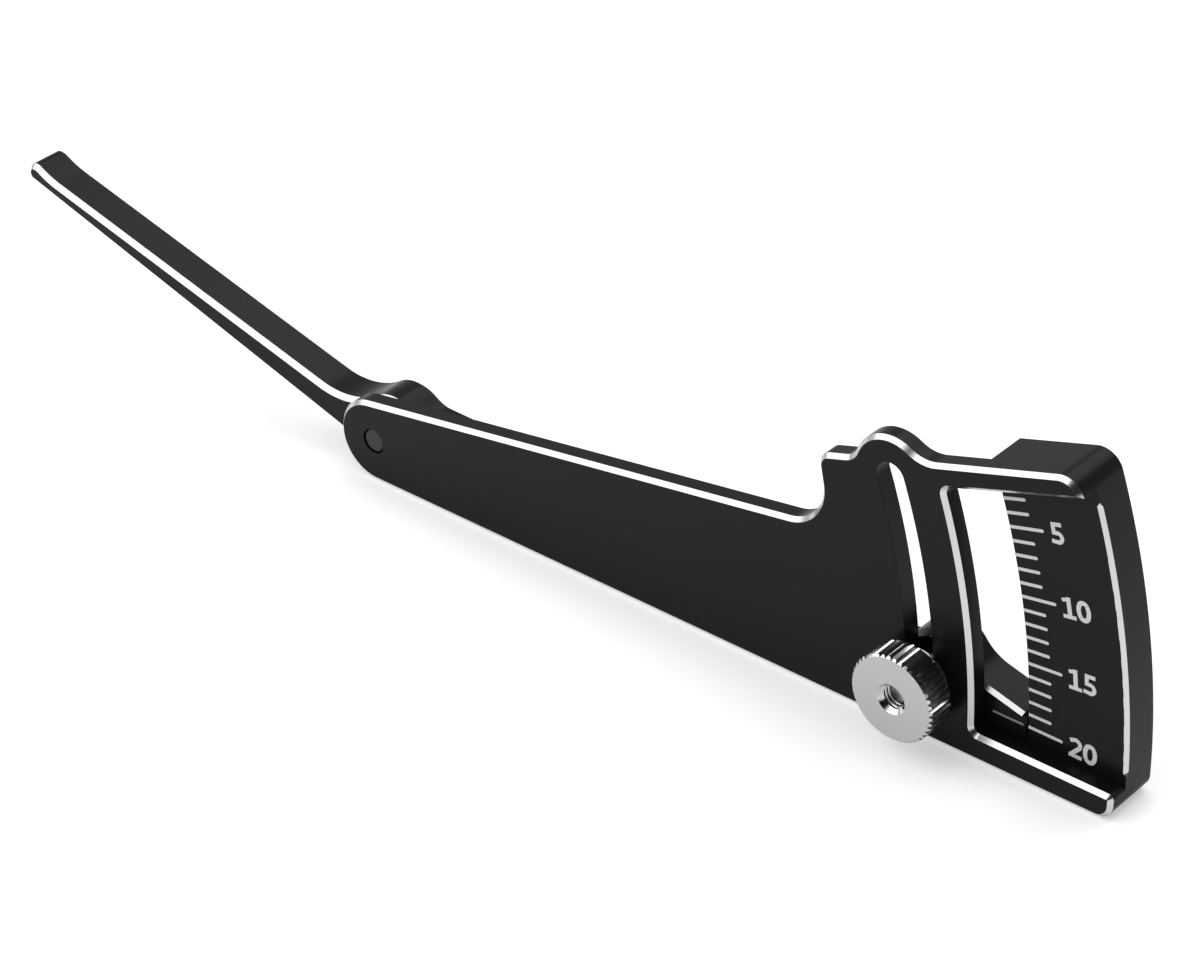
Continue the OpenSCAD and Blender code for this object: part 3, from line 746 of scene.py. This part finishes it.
screw_r, thread_over, thread_deep = 1.5, 0.05, 0.29
screw_sunk, screw_tip, screw_tip_len = 0.14, 0.24, 0.14
head_r, head_h, neck, thread_end = 2.85, 1.6, 0.1, 0.9
head_round = ((0.05, 0), (0, 0.06), (0, 0.4), (0.06, 0.62), (0.22, 0.9), (0.5, 1.18),
              (0.88, 1.42), (1.24, 1.55), (1.5, head_h))
screw_front, crown_y = front_y + screw_sunk * mm, depths("pivot_screw")[1]
under_y = crown_y - head_h * mm
screw = lathe("pivot_button_screw", axis, [
    (0, screw_front), (screw_r - screw_tip, screw_front),
    (screw_r, screw_front + screw_tip_len * mm),
    (screw_r, under_y - neck * mm), (screw_r + neck, under_y),
    *((head_r - inset, under_y + rise * mm) for inset, rise in head_round),
    (0, under_y + head_h * mm),
], black_oxide)
cut(screw, thread_groove(axis, screw_front, under_y - thread_end * mm, screw_r + thread_over,
                         screw_r - thread_deep, black_oxide))
press_hex(screw, axis, crown_y, black_oxide, depth=1.0, across=2.0)
mouth_r, mouth_t, mouth_over = 1.0, 0.16, 0.1
cut(screw, lathe("socket_mouth", axis, [
    (0, crown_y - mouth_t * mm), (mouth_r, crown_y - mouth_t * mm),
    (mouth_r + mouth_t + mouth_over, crown_y + mouth_over * mm),
    (0, crown_y + mouth_over * mm)], black_oxide))
apply(screw, "BEVEL", limit_method="ANGLE", angle_limit=math.radians(75), width=0.02 * mm,
      segments=1, use_clamp_overlap=True)
bpy.ops.object.shade_smooth_by_angle(angle=math.radians(28))
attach(screw, "base")
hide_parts("pivot_screw")

# Clamp stud. A headless M3 screw of plain steel, screwed into the lever's boss from behind
# until its hex socket lies just under the back. Its thread carries the nut.
stud_near, stud_far = depths("clamp_stud")
stud_tip, stud_tip_len, stud_break = 0.4, 0.35, 0.2
stud = lathe("clamp_screw_stud", boss, [
    (0, stud_near), (screw_r - stud_tip, stud_near), (screw_r, stud_near + stud_tip_len * mm),
    (screw_r, stud_far - stud_break * mm), (screw_r - stud_break, stud_far), (0, stud_far),
], plain_steel)
cut(stud, thread_groove(boss, stud_near, stud_far, screw_r + thread_over, screw_r - thread_deep,
                        plain_steel))
press_hex(stud, boss, stud_far, plain_steel, depth=1.5, across=1.5)
pick(stud)
bpy.ops.object.shade_smooth_by_angle(angle=math.radians(28))
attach(stud, "lever")
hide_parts("clamp_stud")

# Clamp washer. The same kind of blanked steel washer, between the nut and the plate, so
# that the nut doesn't drag the lever round.
clamp_washer = washer("clamp_nut_washer", "clamp_washer", boss, r=3.5)
bpy.ops.object.shade_smooth_by_angle(angle=math.radians(40))
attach(clamp_washer, "washer")
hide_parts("clamp_washer")

# Clamp nut. A thumb nut turned from bar with a straight knurl, a plain collar behind it and
# a countersunk M3 thread, then nickel plated, so its flutes shine and its face is satin.
# Bright nickel plate: a warm white metal, near a mirror, with soft patches from buffing.
nickel = bpy.data.materials.new("bright_nickel_plate")
nickel.use_nodes = True
plated = nickel.node_tree.nodes["Principled BSDF"]
plated.inputs["Metallic"].default_value = 1.0
plated.inputs["Base Color"].default_value = hex_colour("D2D2D0")
spot = add_node(nickel, "ShaderNodeTexCoord")
buffed = add_node(nickel, "ShaderNodeTexNoise", values={"Scale": 1 / (0.3 * mm), "Detail": 3.0},
                  links={"Vector": spot.outputs["Object"]})
gloss = add_node(nickel, "ShaderNodeMapRange", values={"To Min": 0.1, "To Max": 0.2},
                 links={"Value": buffed.outputs["Fac"]})
nickel.node_tree.links.new(gloss.outputs["Result"], plated.inputs["Roughness"])

# Faced nickel: the turned front face, satin, with the tool's fine rings about the nut's
# axis, drawn 0.63 mm apart, coarser than the real ones, so that they show.
faced_nickel = bpy.data.materials.new("faced_nickel_plate")
faced_nickel.use_nodes = True
faced = faced_nickel.node_tree.nodes["Principled BSDF"]
faced.inputs["Metallic"].default_value = 1.0
faced.inputs["Base Color"].default_value = hex_colour("C9C9C8")
faced.inputs["Roughness"].default_value = 0.36
nut_axis = place(boss, 0)
spot = add_node(faced_nickel, "ShaderNodeTexCoord")
centred = add_node(faced_nickel, "ShaderNodeMapping", links={"Vector": spot.outputs["Object"]},
                   values={"Location": -nut_axis})
rings = add_node(faced_nickel, "ShaderNodeTexWave",
                 {"wave_type": "RINGS", "rings_direction": "Y"},
                 values={"Scale": wave / (0.62832 * mm), "Distortion": 0.3, "Detail": 1.0},
                 links={"Vector": centred.outputs["Vector"]})
turned_rings = add_node(faced_nickel, "ShaderNodeBump",
                        values={"Strength": 0.05, "Distance": 0.01 * mm},
                        links={"Height": rings.outputs["Fac"]})
faced_nickel.node_tree.links.new(turned_rings.outputs["Normal"], faced.inputs["Normal"])

# The blank is turned a little over size, threaded, and then cut to the knurl's section
nut_r, blank_over, front_bevel, back_bevel = 5.0, 0.1, 0.22, 0.25
collar_r, collar_len, collar_break = 3.2, 0.85, 0.1
drill_r, sink_r, back_sink_r = screw_r - 0.26, screw_r + 0.25, screw_r + 0.06
flutes, flute_depth = 44, 0.32
nut_near, nut_far = depths("clamp_nut")
knurl_far = nut_far - collar_len * mm
nut = lathe("knurled_thumb_nut", boss, [
    (sink_r, nut_near), (nut_r - front_bevel, nut_near),
    (nut_r + blank_over, nut_near + (front_bevel + blank_over) * mm),
    (nut_r + blank_over, knurl_far - (back_bevel + blank_over) * mm),
    (nut_r - back_bevel, knurl_far), (collar_r, knurl_far),
    (collar_r, nut_far - collar_break * mm), (collar_r - collar_break, nut_far),
    (back_sink_r, nut_far), (drill_r, nut_far - (back_sink_r - drill_r) * mm),
    (drill_r, nut_near + (sink_r - drill_r) * mm), (sink_r, nut_near),
], nickel, sides=180)
nut.data.materials.append(faced_nickel)
faced_slot = 1
cut(nut, thread_groove(boss, nut_near, nut_far, drill_r - thread_over, screw_r + 0.02, nickel))
knurl_sides = 3 * flutes
knurl = rod("knurl", boss, nut_near - past * mm, nut_far + past * mm, nut_r, nickel, knurl_sides)
bpy.ops.object.mode_set(mode="EDIT")
bpy.ops.mesh.select_mode(type="VERT")
bpy.ops.mesh.select_all(action="DESELECT")
bpy.ops.object.mode_set(mode="OBJECT")
for vertex in knurl.data.vertices:
    turned = heading(from_pivot(vertex.co) - boss)
    vertex.select = round(turned * knurl_sides / 360) % 3 == 0
bpy.ops.object.mode_set(mode="EDIT")
shrink = 1 - flute_depth / nut_r
bpy.ops.transform.resize(value=(shrink, 1, shrink), center_override=nut_axis)
bpy.ops.object.mode_set(mode="OBJECT")
cut(nut, knurl, "INTERSECT")
for face in nut.data.polygons:
    if face.normal.y < -0.99 and abs(face.center.y - nut_near) < 0.01 * mm:
        face.material_index = faced_slot
pick(nut)
bpy.ops.object.shade_smooth_by_angle(angle=math.radians(20))
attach(nut, "nut")
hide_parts("clamp_nut")

# Floor, light and camera. A seamless white table, a large soft light from behind and above,
# a larger and dimmer one at the left front for the chamfers, and a black flag that keeps the
# camera's side of the studio dark, as it is in the polished edges.

# Seamless paper: matt white, lifted to near white for the eye and a little for the metal.
floor_white = bpy.data.materials.new("seamless_paper")
floor_white.use_nodes = True
paper = floor_white.node_tree.nodes["Principled BSDF"]
paper.inputs["Base Color"].default_value = hex_colour("F4F4F4")
paper.inputs["Roughness"].default_value = 0.9
paper.inputs["Specular IOR Level"].default_value = 0.0
rays = add_node(floor_white, "ShaderNodeLightPath")
to_eye = add_node(floor_white, "ShaderNodeMath", {"operation": "MULTIPLY"}, values={1: 0.35},
                  links={0: rays.outputs["Is Camera Ray"]})
to_metal = add_node(floor_white, "ShaderNodeMath", {"operation": "MULTIPLY"}, values={1: 0.12},
                    links={0: rays.outputs["Is Glossy Ray"]})
lift = add_node(floor_white, "ShaderNodeMath", {"operation": "ADD"},
                links={0: to_eye.outputs[0], 1: to_metal.outputs[0]})
glow = add_node(floor_white, "ShaderNodeEmission", links={"Strength": lift.outputs[0]})
both = add_node(floor_white, "ShaderNodeAddShader",
                links={0: paper.outputs["BSDF"], 1: glow.outputs["Emission"]})
floor_white.node_tree.links.new(both.outputs["Shader"],
                                floor_white.node_tree.nodes["Material Output"].inputs["Surface"])
bpy.ops.object.select_all(action="DESELECT")
bpy.ops.mesh.primitive_plane_add(size=6, location=(0, 0, -0.1 * mm))
floor = bpy.context.object
floor.name = "floor"
floor.data.materials.append(floor_white)

world = bpy.data.worlds.new("studio")
bpy.context.scene.world = world
world.use_nodes = True
world.node_tree.nodes["Background"].inputs["Color"].default_value = (1, 1, 1, 1)
world.node_tree.nodes["Background"].inputs["Strength"].default_value = 0.52


def soft_light(name, size, radiance, spot, target):
    """A square soft light at spot, turned to target, as bright as radiance times white."""
    lamp = bpy.data.lights.new(name, "AREA")
    lamp.size = size
    lamp.energy = radiance * math.pi * size**2
    holder = bpy.data.objects.new(name, lamp)
    bpy.context.collection.objects.link(holder)
    holder.location = spot
    holder.rotation_euler = (Vector(target) - Vector(spot)).to_track_quat("-Z", "Y").to_euler()


soft_light("top_light", 1.1, 1.75, (-0.1, 0.6, 1.15), (-0.05, 0, 0))
soft_light("left_light", 1.4, 1.25, (-0.75, -0.69, 0.79), (-0.05, 0, 0.01))

camera_data = bpy.data.cameras.new("camera")
camera_data.lens = 115.2
camera_data.sensor_width = 36
camera_data.clip_start = 0.01
camera = bpy.data.objects.new("camera", camera_data)
bpy.context.collection.objects.link(camera)
view_az, view_el, view_roll = math.radians(42.229), math.radians(33.394), math.radians(-2.405)
view_from = Vector((0.25911, -0.24843, 0.22969))  # from the pivot, on the plate's front
backward = Vector((math.sin(view_az) * math.cos(view_el), -math.cos(view_az) * math.cos(view_el),
                   math.sin(view_el)))
level = Vector((0, 0, 1)).cross(backward).normalized()
upright = backward.cross(level)
across = level * math.cos(view_roll) + upright * math.sin(view_roll)
up = upright * math.cos(view_roll) - level * math.sin(view_roll)
turn = Matrix((across, up, backward)).transposed().to_4x4()
camera.matrix_world = Matrix.Translation(place(axis, front_y) + view_from) @ turn
bpy.context.scene.camera = camera

# Black flag cloth: matt, and seen only by the polished edges and by other gloss
flag_size, flag_far = 0.9, 0.95
bpy.ops.object.select_all(action="DESELECT")
bpy.ops.mesh.primitive_plane_add(size=flag_size, location=backward * flag_far)
flag = bpy.context.object
flag.name = "black_flag"
flag.rotation_euler = backward.to_track_quat("Z", "Y").to_euler()
flag_cloth = bpy.data.materials.new("black_flag_cloth")
flag_cloth.use_nodes = True
cloth = flag_cloth.node_tree.nodes["Principled BSDF"]
cloth.inputs["Base Color"].default_value = hex_colour("101010")
cloth.inputs["Specular IOR Level"].default_value = 0.0
flag.data.materials.append(flag_cloth)
flag.visible_camera = False
flag.visible_diffuse = False
flag.visible_shadow = False
bpy.context.scene.view_settings.view_transform = "Standard"
